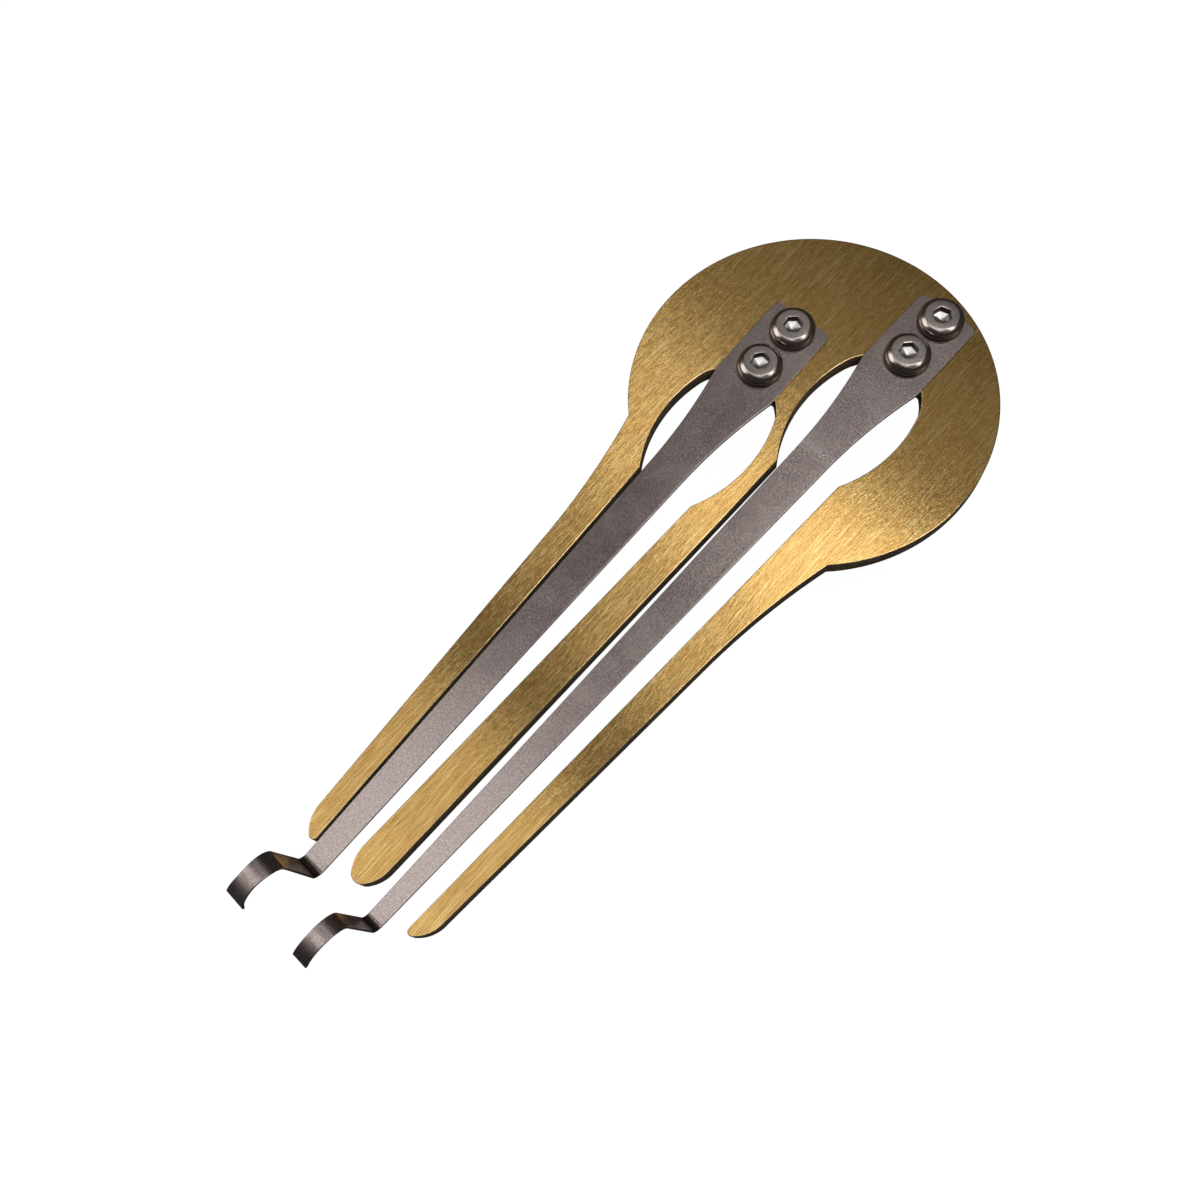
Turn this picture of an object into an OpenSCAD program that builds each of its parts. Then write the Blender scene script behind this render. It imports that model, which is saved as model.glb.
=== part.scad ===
// Double-reed mouth harp: a flat brass plate with a round head and three tines, and two steel reeds that
// are screwed to the head, lie over the slots between the tines and end in a bent-up trigger.
// Millimetres. +Y runs along the harp towards its head, +X across it to the right and +Z out of the face
// that carries the reeds. The plate's back lies on z = 0 and the harp is centred on x = 0, y = 0.
// In a list of two values the first is for the left reed and the second for the right one.

/* [Frame plate] */
// Thickness of the brass sheet
plate_t = 2.2; // [1.2:0.1:3]
// Radius of the round head
head_r = 22; // [21:0.5:26]
// Distance from the centre of the head to the ends of the tines
tine_reach = 76.7; // [65:0.1:90]
// Half of the width over the outer tines, at their ends
outer_half = 9.4; // [9:0.05:10.5]
// Angle by which their outer edges spread towards the head
outer_angle = 3.7; // [3:0.1:4.5]
// Distance from the centre of the head to the foot of the concave shoulders
shoulder_foot = 34; // [28:0.5:40]
// Radius of the concave shoulders
shoulder_r = 95; // [80:1:140]

/* [Tines] */
// Half of the distance between the outer tines, at their ends
slot_half = 7.1; // [6.9:0.05:7.5]
// Angle by which their inner edges spread towards the head
inner_angle = 2.35; // [2:0.05:2.8]
// Width of the middle tine at its end
mid_end_w = 4.1; // [3.4:0.05:4.4]
// Width of the middle tine where it leaves the keyholes
mid_neck_w = 3.75; // [3:0.05:4.2]
// Sideways place of the middle tine, level with the centre of the head
mid_x = 0.7; // [0.5:0.05:0.9]
// Angle by which the middle tine leans to the left
mid_lean = 1.05; // [0.7:0.05:1.4]
// Length of the rounded ends of the tines
tip_len = 3.3; // [3:0.1:4.5]
// Radius of the nose of the middle tine
mid_nose_r = 1.3; // [0.8:0.1:1.5]
// Radius of the nose of each outer tine
outer_nose_r = 0.55; // [0.4:0.05:0.8]

/* [Keyholes] */
// Half of the width of the keyholes
keyhole_half_w = 6.3; // [6:0.05:6.5]
// Radius of the curved sides of the keyholes
keyhole_side_r = 17.5; // [15:0.1:20]
// Sideways places of the keyholes
keyhole_x = [-6.05, 5.75]; // [-7:0.05:7]
// Angles by which the keyholes lean
keyhole_lean = [5, -1]; // [-6:0.5:6]
// Distance from the front screw to the widest place of the keyhole
keyhole_drop = 10.25; // [9:0.05:11]
// Radius of the rounded top of the keyhole
keyhole_top_r = 5.75; // [5:0.05:5.9]
// Distance from the front screw to the straight edge at the top of the keyhole
clamp_drop = 2.3; // [2.2:0.05:3]

/* [Reeds] */
// Thickness of the steel strip where it is clamped
reed_t = 0.5; // [0.4:0.05:0.8]
// Thickness of the strip in the triggers, to which the tongues are ground down
trigger_t = 0.3; // [0.2:0.05:0.4]
// Sideways places of the front screws
reed_x = [-6.9, 5.75]; // [-8:0.05:8]
// Distances from the centre of the head to the front screws
reed_y = [-1.3, 10.85]; // [-3:0.05:12]
// Angles by which the reeds are turned, which brings their ends nearer to each other
reed_lean = [1.26, -1.14]; // [-2:0.02:2]
// Width of the clamp tab
tab_w = 8.2; // [7:0.1:8.4]
// Distances from the rear screws to the ends of the tabs
tab_overhang = [2.3, 1.8]; // [1.7:0.1:4]
// Radius of the corners of the tab
tab_corner_r = 0.8; // [0.2:0.1:1.2]
// Distance from the front screw to the start of the taper
taper_drop = 3.2; // [2.8:0.1:4]
// Length of the concave taper between tab and tongue
taper_len = 14.5; // [11:0.5:18]
// Widths of the tongues at the foot of the taper
root_w = [4.7, 4.5]; // [4:0.05:5]
// Widths of the tongues at the trigger
tip_w = [2.8, 2.05]; // [1.8:0.05:3.2]
// Distance from the front screw to the line about which the tongue flexes
flex_drop = 4.3; // [4.1:0.1:6]
// Clearance between the tab and the round rear end of the tongue
flex_gap = 0.1; // [0.05:0.01:0.2]

/* [Triggers] */
// Distances from the ends of the tines to the trigger legs
trigger_gap = [2.25, 1.9]; // [1.5:0.05:4]
// Angle by which the reed is bent up into the leg
foot_angle = 88; // [80:0.5:90]
// Lengths of the straight legs
leg_len = [8.35, 8.65]; // [6:0.05:11]
// Angle by which the top of the leg is bent forwards
knee_angle = 71; // [55:1:80]
// Radius of the bend at the foot of the leg, at half of the thickness
foot_r = 1; // [0.8:0.05:2]
// Radius of the bend at the top of the leg, at half of the thickness
knee_r = 2.05; // [0.8:0.05:3]
// Radius of the finger hook, at half of the thickness
hook_r = 3.6; // [2.5:0.05:5]
// Angles through which the finger hooks curl
hook_angle = [68, 66]; // [50:1:90]
// Widths of the finger hooks
hook_w = [2.35, 1.95]; // [1.5:0.05:3]
// Angles by which the triggers are turned out of line with the reeds
trigger_turn = [-4.3, -1]; // [-6:0.1:6]

/* [Screws] */
// Distance between the two screws of a reed
screw_pitch = 6.35; // [6:0.05:7]
// Diameter of the screw heads
screw_head_d = 5.5; // [5:0.1:5.8]
// Height of the screw heads
screw_head_h = 1.5; // [1.2:0.1:2]
// Radius of the rounded rim of the screw heads
screw_rim_r = 0.7; // [0.2:0.05:0.8]
// Diameter of the threaded shanks
screw_d = 3; // [2.5:0.1:3]
// Distance from the ends of the shanks to the plate's back
screw_end_gap = 0.1; // [0:0.05:0.3]
// Width of the bevel at the ends of the shanks
screw_end_bevel = 0.25; // [0.1:0.05:0.5]
// Radial clearance of the shanks in the plate
thread_gap = 0.05; // [0.02:0.01:0.08]
// Radial clearance of the shanks in the reeds
reed_hole_gap = 0.1; // [0.05:0.01:0.2]
// Width across the flats of the hexagon sockets
socket_af = 2; // [1.5:0.1:2.5]
// Depth of the hexagon sockets
socket_depth = 1; // [0.6:0.1:1.1]
// Width of the bevel round the mouth of the sockets
socket_bevel = 0.12; // [0.05:0.01:0.2]
// Angles of the sockets: left rear, left front, right rear, right front
socket_turn = [38, 50, 15, 45]; // [0:1:60]

/* [Hidden] */
$fn = 96;
LARGE_ARC_FN = 360; // facets of a circle that gives a long, shallow arc
LEFT = 0;
RIGHT = 1;
CUT = 1; // how far a cutting shape runs past what it cuts
OVERLAP = 0.2; // how far a rounded or bent end runs into what it continues
SKIN = 0.005; // how far a shape stands out of the one it runs into, so that their edges cross
brass = "darkgoldenrod";
steel = "dimgray";
screw_steel = "slategray";
flex_z = plate_t + reed_t / 2; // level of the line about which a tongue flexes
reed_top_z = plate_t + reed_t;
tip_y = tip_len - tine_reach; // level at which the ends of the tines begin to round
shoulder_top = -0.45 * head_r; // level inside the head at which the shoulders stop
tab_front = reed_t / 2 + flex_gap - flex_drop;
taper_foot = taper_drop + taper_len;
knee_dir = foot_angle - knee_angle; // direction of the strip where the hook starts

// Distance from a front screw to the end of its tab
function tab_rear(side) = screw_pitch + tab_overhang[side];
// A direction as a unit vector
function dir(angle) = [cos(angle), sin(angle)];
// Half of the distance between two tine edges at level y, where y = 0 is the centre of the head
function spread(end_half, angle, y) = end_half + (y + tine_reach) * tan(angle);
// Distance along a reed from its front screw to the bend at the foot of the leg
function foot_len(side) = (tine_reach + trigger_gap[side] + reed_y[side]) / cos(reed_lean[side])
    - (foot_r - trigger_t / 2) * sin(foot_angle);
// Angle at which each edge of a tongue spreads towards the head
function tongue_angle(side) = atan((root_w[side] - tip_w[side]) / 2 / (foot_len(side) - taper_foot));
// Radius of the arc that leaves an edge of the given angle and ends at an offset of dx, dy
function arc_r(angle, dx, dy) = (dx * dx + dy * dy) / 2 / (dx * cos(angle) - dy * sin(angle));
// Direction of the strip where the hook ends
function hook_dir(side) = knee_dir - hook_angle[side];
// Distance that the trigger reaches in front of the bend at its foot
function trigger_len(side) = foot_r * sin(foot_angle) + leg_len[side] * cos(foot_angle)
    + knee_r * (sin(foot_angle) - sin(knee_dir)) + hook_r * (sin(knee_dir) - sin(hook_dir(side)))
    - trigger_t / 2 * sin(hook_dir(side));
// Distance from the centre of the head to the end of a hook
function hook_reach(side) = foot_len(side) * cos(reed_lean[side]) - reed_y[side]
    + trigger_len(side) * cos(reed_lean[side] + trigger_turn[side])
    + hook_w[side] / 2 * abs(sin(reed_lean[side] + trigger_turn[side]));
head_y = (max(hook_reach(LEFT), hook_reach(RIGHT)) - head_r) / 2; // centres the harp's length

// ---- placing ----

// Puts what is drawn about the centre of the head in its place
module from_head() {
    translate([0, head_y, 0])
        children();
}

// Puts what is drawn about a front screw, with the reed along -Y, in its place
module along_reed(side) {
    from_head()
        translate([reed_x[side], reed_y[side], 0])
            rotate(reed_lean[side])
                children();
}

// ---- shapes that the plate and the reeds share ----

// A block that starts with half width x at y = 0 and widens up to y = rise. Each side is a concave arc
// that leaves an edge of the given angle without a corner.
module flare(x, angle, r, rise) {
    centre_x = x + r * cos(angle);
    difference() {
        translate([-centre_x, 0])
            square([2 * centre_x, rise]);
        for (side = [0, 1])
            mirror([side, 0])
                translate([centre_x, -r * sin(angle)])
                    circle(r, $fn = LARGE_ARC_FN);
    }
}

// ---- frame plate ----

// One flank of a tine's end: an arc from the nose, whose centre is at x = 0, to an edge at x = half_w
module tip_flank(half_w, nose_r) {
    nose = [0, nose_r];
    flank_r = (half_w * half_w - nose_r * nose_r + pow(tip_len - nose_r, 2)) / 2 / (half_w - nose_r);
    centre = [half_w - flank_r, tip_len];
    towards_nose = (nose - centre) / norm(nose - centre);
    translate(nose)
        circle(nose_r + SKIN);
    intersection() {
        translate(centre)
            circle(flank_r, $fn = LARGE_ARC_FN);
        polygon([
            nose,
            nose + flank_r * towards_nose,
            [half_w + flank_r, tip_len + OVERLAP],
            [0, tip_len + OVERLAP]
        ]);
    }
}

// End of the right outer tine, which rounds on its outer edge and which the slot trims on its inner one
module outer_tip() {
    inner_x = spread(slot_half, inner_angle, tip_y);
    outer_x = spread(outer_half, outer_angle, tip_y);
    translate([inner_x, tip_y])
        rotate(-inner_angle)
            translate([outer_nose_r, -tip_len]) {
                tip_flank(outer_x - inner_x - outer_nose_r, outer_nose_r);
                translate([-outer_nose_r - OVERLAP, outer_nose_r])
                    square([outer_nose_r + OVERLAP, tip_len - outer_nose_r + OVERLAP]);
            }
}

module mid_tip() {
    translate([mid_x + tip_y * tan(mid_lean), tip_y])
        rotate(-mid_lean)
            translate([0, -tip_len])
                for (side = [0, 1])
                    mirror([side, 0])
                        tip_flank(mid_end_w / 2, mid_nose_r);
}

// The slot between the middle tine and an outer tine, from the tine ends up to the keyhole
module slot(side) {
    toward = side == LEFT ? -1 : 1;
    top = reed_y[side] - keyhole_drop;
    bottom = tip_y - tip_len - CUT;
    mid_bottom = mid_x + tip_y * tan(mid_lean) + toward * mid_end_w / 2;
    mid_top = mid_x + top * tan(mid_lean) + toward * mid_neck_w / 2;
    slope = (mid_top - mid_bottom) / (top - tip_y);
    polygon([
        [mid_bottom + slope * (bottom - tip_y), bottom],
        [mid_top, top],
        [toward * spread(slot_half, inner_angle, top), top],
        [toward * spread(slot_half, inner_angle, bottom), bottom]
    ]);
}

// An egg whose two side arcs run into a rounded top, which is cut straight where the reed is clamped
module keyhole(side) {
    arc_x = keyhole_side_r - keyhole_half_w;
    to_top = keyhole_side_r - keyhole_top_r;
    top_y = sqrt(max(0, to_top * to_top - arc_x * arc_x));
    join_y = keyhole_side_r * top_y / to_top;
    translate([keyhole_x[side], reed_y[side] - keyhole_drop])
        rotate(keyhole_lean[side])
            intersection() {
                union() {
                    intersection() {
                        translate([arc_x, 0])
                            circle(keyhole_side_r, $fn = LARGE_ARC_FN);
                        translate([-arc_x, 0])
                            circle(keyhole_side_r, $fn = LARGE_ARC_FN);
                        translate([-keyhole_side_r, -keyhole_side_r])
                            square([2 * keyhole_side_r, keyhole_side_r + join_y]);
                    }
                    translate([0, top_y])
                        circle(keyhole_top_r + SKIN, $fn = LARGE_ARC_FN);
                }
                translate([-keyhole_side_r, -keyhole_side_r])
                    square([2 * keyhole_side_r, keyhole_side_r + keyhole_drop - clamp_drop]);
            }
}

module plate_outline() {
    circle(head_r, $fn = LARGE_ARC_FN);
    translate([0, -shoulder_foot])
        flare(spread(outer_half, outer_angle, -shoulder_foot), outer_angle, shoulder_r,
              shoulder_foot + shoulder_top);
    polygon([
        [-spread(outer_half, outer_angle, tip_y), tip_y],
        [spread(outer_half, outer_angle, tip_y), tip_y],
        [spread(outer_half, outer_angle, shoulder_top), shoulder_top],
        [-spread(outer_half, outer_angle, shoulder_top), shoulder_top]
    ]);
}

module frame_plate() {
    color(brass)
        difference() {
            from_head()
                linear_extrude(plate_t) {
                    difference() {
                        union() {
                            plate_outline();
                            for (side = [0, 1])
                                mirror([side, 0])
                                    outer_tip();
                        }
                        for (side = [LEFT, RIGHT]) {
                            slot(side);
                            keyhole(side);
                        }
                    }
                    mid_tip();
                }
            for (side = [LEFT, RIGHT], y = [0, screw_pitch])
                along_reed(side)
                    translate([0, y, -CUT])
                        cylinder(h = plate_t + 2 * CUT, r = screw_d / 2 + thread_gap);
        }
}

// ---- reeds ----

// Outline of a whole reed from the end of its tab to the foot of its leg
module reed_outline(side) {
    foot = foot_len(side);
    rear = tab_rear(side);
    angle = tongue_angle(side);
    foot_half = tip_w[side] / 2 + SKIN;
    root_half = root_w[side] / 2 + SKIN + CUT * tan(angle);
    translate([tab_corner_r - tab_w / 2, -taper_drop])
        square([tab_w - 2 * tab_corner_r, taper_drop + rear]);
    for (x = [-1, 1] * (tab_w / 2 - tab_corner_r))
        translate([x, rear - tab_corner_r])
            circle(tab_corner_r);
    translate([0, -taper_foot])
        intersection() {
            flare(root_w[side] / 2, angle, arc_r(angle, (tab_w - root_w[side]) / 2, taper_len),
                  taper_foot + rear - tab_corner_r);
            translate([-tab_w / 2, 0])
                square([tab_w, taper_foot + rear]);
        }
    polygon([
        [-foot_half, -foot],
        [foot_half, -foot],
        [root_half, CUT - taper_foot],
        [-root_half, CUT - taper_foot]
    ]);
}

// The clamped end of a reed, which ends just short of the tongue's round rear end
module reed_tab(side) {
    color(steel)
        along_reed(side)
            difference() {
                translate([0, 0, plate_t])
                    linear_extrude(reed_t)
                        intersection() {
                            reed_outline(side);
                            translate([-tab_w, tab_front])
                                square([2 * tab_w, tab_rear(side) - tab_front + CUT]);
                        }
                for (y = [0, screw_pitch])
                    translate([0, y, 0])
                        cylinder(h = reed_top_z + CUT, r = screw_d / 2 + reed_hole_gap);
            }
}

// The trigger's strip, bent along a list of stretches and drawn from the origin towards +X. Each stretch is [length, 0]
// where it is straight, or [radius, angle] where it is bent, to the left with a positive angle.
module bent_strip(stretches, i = 0) {
    if (i < len(stretches)) {
        size = stretches[i][0];
        angle = stretches[i][1];
        if (angle == 0) {
            translate([0, -trigger_t / 2])
                square([size, trigger_t]);
            translate([size, 0])
                bent_strip(stretches, i + 1);
        } else {
            from = -90 * sign(angle);
            centre = [0, size * sign(angle)];
            translate(centre) {
                intersection() {
                    difference() {
                        circle(size + trigger_t / 2);
                        circle(size - trigger_t / 2);
                    }
                    polygon([[0, 0], 2 * size * dir(from), 3 * size * dir(from + angle / 2),
                             2 * size * dir(from + angle)]);
                }
                rotate(angle)
                    translate(-centre)
                        bent_strip(stretches, i + 1);
            }
        }
    }
}

// The bent-up end of a reed, narrower at its hook than at its foot
module trigger(side) {
    foot_half = tip_w[side] / 2;
    hook_half = hook_w[side] / 2;
    knee_z = reed_top_z + leg_len[side];
    top_z = knee_z + knee_r + hook_r + trigger_t;
    translate([0, -foot_len(side), 0])
        rotate(trigger_turn[side])
            intersection() {
                translate([0, OVERLAP, reed_top_z - trigger_t / 2])
                    rotate([90, 0, -90])
                        linear_extrude(2 * foot_half, center = true)
                            bent_strip([
                                [OVERLAP, 0],
                                [foot_r, foot_angle],
                                [leg_len[side], 0],
                                [knee_r, -knee_angle],
                                [hook_r, -hook_angle[side]]
                            ]);
                translate([0, CUT, 0])
                    rotate([90, 0, 0])
                        linear_extrude(trigger_len(side) + 2 * CUT)
                            polygon([
                                [-foot_half, 0],
                                [foot_half, 0],
                                [foot_half, reed_top_z],
                                [hook_half, knee_z],
                                [hook_half, top_z],
                                [-hook_half, top_z],
                                [-hook_half, knee_z],
                                [-foot_half, reed_top_z]
                            ]);
            }
}

// Side view of a tongue: round behind the line about which it flexes, then ground thinner from below
module tongue_side(side) {
    translate([-flex_drop, flex_z])
        circle(reed_t / 2);
    polygon([
        [-flex_drop, plate_t],
        [-flex_drop, reed_top_z],
        [-foot_len(side), reed_top_z],
        [-foot_len(side), reed_top_z - trigger_t]
    ]);
}

// The free end of a reed
module reed_tongue(side) {
    color(steel)
        along_reed(side) {
            intersection() {
                linear_extrude(reed_top_z + CUT)
                    reed_outline(side);
                rotate([90, 0, 90])
                    linear_extrude(2 * tab_w, center = true)
                        tongue_side(side);
            }
            trigger(side);
        }
}

module left_reed_tab() {
    reed_tab(LEFT);
}

module left_reed_tongue() {
    reed_tongue(LEFT);
}

module right_reed_tab() {
    reed_tab(RIGHT);
}

module right_reed_tongue() {
    reed_tongue(RIGHT);
}

// ---- screws ----

// Half of a screw's section: the head above y = 0 and the shank below it
module screw_section() {
    head = screw_head_d / 2;
    shank = screw_d / 2;
    end = screw_end_gap - reed_top_z;
    square([head, screw_head_h - screw_rim_r]);
    square([head - screw_rim_r, screw_head_h]);
    translate([head - screw_rim_r, screw_head_h - screw_rim_r])
        circle(screw_rim_r);
    polygon([
        [0, end],
        [shank - screw_end_bevel, end],
        [shank, end + screw_end_bevel],
        [shank, 0],
        [0, 0]
    ]);
}

// A screw whose head lies on the tab of a reed, at a distance y behind the front screw
module screw(side, y, turn) {
    socket_r = socket_af / 2 / cos(30);
    color(screw_steel)
        along_reed(side)
            translate([0, y, reed_top_z])
                difference() {
                    rotate_extrude()
                        screw_section();
                    translate([0, 0, screw_head_h - socket_depth])
                        rotate(turn)
                            cylinder(h = socket_depth + CUT, r = socket_r, $fn = 6);
                    translate([0, 0, screw_head_h - socket_bevel])
                        cylinder(h = 2 * socket_bevel, r1 = socket_r, r2 = socket_r + 2 * socket_bevel);
                }
}

module left_rear_screw() {
    screw(LEFT, screw_pitch, socket_turn[0]);
}

module left_front_screw() {
    screw(LEFT, 0, socket_turn[1]);
}

module right_rear_screw() {
    screw(RIGHT, screw_pitch, socket_turn[2]);
}

module right_front_screw() {
    screw(RIGHT, 0, socket_turn[3]);
}

frame_plate();
left_reed_tab();
left_reed_tongue();
right_reed_tab();
right_reed_tongue();
left_rear_screw();
left_front_screw();
right_rear_screw();
right_front_screw();
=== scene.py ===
import math
import bmesh
import bpy
import numpy as np
from mathutils import Euler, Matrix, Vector
from mathutils.geometry import delaunay_2d_cdt


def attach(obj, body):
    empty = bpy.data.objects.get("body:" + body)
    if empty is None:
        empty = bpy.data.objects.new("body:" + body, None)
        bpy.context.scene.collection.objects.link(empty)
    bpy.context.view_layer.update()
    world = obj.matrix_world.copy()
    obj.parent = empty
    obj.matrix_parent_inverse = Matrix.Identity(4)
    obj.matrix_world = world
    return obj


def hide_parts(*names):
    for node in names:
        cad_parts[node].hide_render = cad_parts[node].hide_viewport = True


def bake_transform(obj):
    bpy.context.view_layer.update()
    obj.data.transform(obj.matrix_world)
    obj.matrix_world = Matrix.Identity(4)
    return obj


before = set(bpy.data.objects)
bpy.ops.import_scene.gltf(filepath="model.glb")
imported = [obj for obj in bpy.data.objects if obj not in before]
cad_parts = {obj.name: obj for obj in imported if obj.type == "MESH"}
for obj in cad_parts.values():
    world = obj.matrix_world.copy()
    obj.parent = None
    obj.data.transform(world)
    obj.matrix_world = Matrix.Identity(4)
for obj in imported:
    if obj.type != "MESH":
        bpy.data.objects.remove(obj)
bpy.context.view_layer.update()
print("frame loaded:", len(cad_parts), "nodes")

mm = 0.001  # every length in the settings is in millimetres, and every angle in degrees


# Quads between the rows of a grid whose points are numbered row by row, and whose last column meets its first
def gridQuads(rows, columns, first=0):
    row, column = np.meshgrid(np.arange(rows - 1), np.arange(columns), indexing="ij")
    across = (column + 1) % columns
    quads = [row * columns + column, row * columns + across,
             (row + 1) * columns + across, (row + 1) * columns + column]
    return first + np.stack(quads, axis=-1).reshape(-1, 4)


# Makes a piece from points in millimetres. faceSets is a list of (faces, material slot, smooth).
def makePiece(name, points, faceSets, materials, attributes=None, uv=None):
    mesh = bpy.data.meshes.new(name)
    faces = [tuple(int(i) for i in face) for group, _, _ in faceSets for face in group]
    mesh.from_pydata((points * mm).tolist(), [], faces)
    mesh.polygons.foreach_set("material_index", np.concatenate([np.full(len(g), s) for g, s, _ in faceSets]))
    mesh.polygons.foreach_set("use_smooth", np.concatenate([np.full(len(g), f) for g, _, f in faceSets]))
    for key, values in (attributes or {}).items():
        mesh.attributes.new(key, "FLOAT", "POINT").data.foreach_set("value", values.astype(np.float32))
    if uv is not None:
        corner = np.empty(len(mesh.loops), int)
        mesh.loops.foreach_get("vertex_index", corner)
        mesh.uv_layers.new(name="flat").data.foreach_set("uv", uv[corner].astype(np.float32).ravel())
    shell = bmesh.new()  # only to turn all the faces outwards
    shell.from_mesh(mesh)
    bmesh.ops.recalc_face_normals(shell, faces=shell.faces)
    shell.to_mesh(mesh)
    shell.free()
    for material in materials:
        mesh.materials.append(material)
    piece = bpy.data.objects.new(name, mesh)
    bpy.context.scene.collection.objects.link(piece)
    return piece


# Adds a node. A value in inputs is a number, a colour or another node's output.
def addNode(tree, kind, inputs=None, **settings):
    node = tree.nodes.new(kind)
    for key, value in settings.items():
        setattr(node, key, value)
    for key, value in (inputs or {}).items():
        if isinstance(value, bpy.types.NodeSocket):
            tree.links.new(value, node.inputs[key])
        else:
            node.inputs[key].default_value = value
    return node


def combine(tree, operation, a, b, clamp=False):
    return addNode(tree, "ShaderNodeMath", {0: a, 1: b}, operation=operation, use_clamp=clamp).outputs[0]


# Maps a value from one range to another
def remap(tree, value, low, high, toLow, toHigh):
    return addNode(tree, "ShaderNodeMapRange", {"Value": value, "From Min": low, "From Max": high,
                                                "To Min": toLow, "To Max": toHigh}).outputs[0]


# The colour a where the factor is 0 and b where it is 1. The mix node has its colours at 6 and 7, and gives one at 2.
def mixColour(tree, factor, a, b):
    return addNode(tree, "ShaderNodeMix", {0: factor, 6: a, 7: b}, data_type="RGBA").outputs[2]


def rgba(red, green, blue):
    return (red, green, blue, 1)


def grey(value):
    return rgba(value, value, value)


grainStyle = {
    "sizes": {"Line Width": 0.3, "Line Length": 4, "Fleck Width": 0.2, "Fleck Length": 0.8, "Patch Size": 12},
    "hairWidth": 0.8,  # both as shares of a line's
    "hairLength": 2,
    "layers": {"Lines": 3, "Hairlines": 1, "Flecks": 2, "Patches": 4},
    "layerShare": 0.6,
    # the part of each noise that is spread over 0 to 1
    "spans": {"Lines": (0.25, 0.75), "Hairlines": (0.25, 0.75), "Flecks": (0.38, 0.72), "Patches": (0.25, 0.75)},
}


# A group that puts out brushing lines, hairlines, flecks and soft patches, all between 0 and 1. Each is noise at
# the object coordinates over a width along X and over a length along Y and Z, both of them in millimetres.
def makeGrainGroup(style):
    group = bpy.data.node_groups.new("brushedGrain", "ShaderNodeTree")
    for name, value in style["sizes"].items():
        group.interface.new_socket(name, in_out="INPUT", socket_type="NodeSocketFloat").default_value = value
    for name in style["layers"]:
        group.interface.new_socket(name, in_out="OUTPUT", socket_type="NodeSocketFloat")
    size = group.nodes.new("NodeGroupInput").outputs
    result = group.nodes.new("NodeGroupOutput").inputs
    place = addNode(group, "ShaderNodeTexCoord").outputs["Object"]
    extents = {
        "Lines": (size["Line Width"], size["Line Length"]),
        "Hairlines": (combine(group, "MULTIPLY", size["Line Width"], style["hairWidth"]),
                      combine(group, "MULTIPLY", size["Line Length"], style["hairLength"])),
        "Flecks": (size["Fleck Width"], size["Fleck Length"]),
        "Patches": (size["Patch Size"], size["Patch Size"]),
    }
    for name, (width, length) in extents.items():
        across = combine(group, "DIVIDE", 1 / mm, width)
        along = combine(group, "DIVIDE", 1 / mm, length)
        scale = addNode(group, "ShaderNodeCombineXYZ", {"X": across, "Y": along, "Z": along}).outputs[0]
        vector = addNode(group, "ShaderNodeVectorMath", {0: place, 1: scale}, operation="MULTIPLY").outputs[0]
        noise = addNode(group, "ShaderNodeTexNoise", {"Vector": vector, "Scale": 1.0, "Detail": style["layers"][name],
                                                      "Roughness": style["layerShare"]}).outputs["Fac"]
        group.links.new(remap(group, noise, *style["spans"][name], 0, 1), result[name])
    return group


grainGroup = makeGrainGroup(grainStyle)


# Starts a metal material and returns it with its tree, its Principled shader and the outputs of its own grain
def startMetal(name, grain):
    material = bpy.data.materials.new(name)
    material.use_nodes = True
    tree = material.node_tree
    shader = tree.nodes["Principled BSDF"]
    shader.inputs["Metallic"].default_value = 1
    marks = addNode(tree, "ShaderNodeGroup", node_tree=grainGroup)
    for key, value in grain.items():
        marks.inputs[key].default_value = value
    return material, tree, shader, marks.outputs


# One half plus the weighted distances of the marks from one half, kept between 0 and 1
def weigh(tree, marks, weights):
    total = 0.5 - sum(weights.values()) / 2
    for name, weight in weights.items():
        total = combine(tree, "ADD", combine(tree, "MULTIPLY", marks[name], weight), total)
    return combine(tree, "ADD", total, 0, clamp=True)


# Spreads the middle of a mark's range over the limits of the roughness
def roughen(tree, mark, limits):
    return remap(tree, mark, 0.2, 0.8, *limits)


def raiseMarks(tree, depth, height):
    return addNode(tree, "ShaderNodeBump", {"Strength": 1.0, "Distance": depth, "Height": height}).outputs[0]


def attribute(tree, name):
    return addNode(tree, "ShaderNodeAttribute", attribute_name=name).outputs["Fac"]


def connect(tree, shader, **inputs):
    for key, value in inputs.items():
        tree.links.new(value, shader.inputs[key.replace("_", " ")])


brassStyle = {
    "darkTint": rgba(0.46, 0.245, 0.068),
    "lightTint": rgba(1.0, 0.65, 0.225),
    "scratchTint": rgba(1.0, 0.76, 0.34),
    "scratchSpan": (0.6, 0.9),  # the hairlines above the first number are scratches, in full from the second on
    "scratchShare": 0.7,
    # the rims' lighter tint is partly wear and partly a painted highlight
    "rimWearAndHighlightTint": rgba(1.0, 0.76, 0.40),
    "rimWearAndHighlightShare": 0.65,
    "grain": {"Line Width": 0.15, "Line Length": 2.6, "Fleck Width": 0.16, "Fleck Length": 1.0, "Patch Size": 6},
    "contrast": {"Flecks": 0.4, "Lines": 0.65, "Patches": 0.2},
    "roughness": (0.24, 0.30),
    "anisotropy": 1.0,
    "relief": {"Lines": 0.4, "Hairlines": 0.1, "Flecks": 0.5},
    "depth": 0.012 * mm,
}
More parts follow.
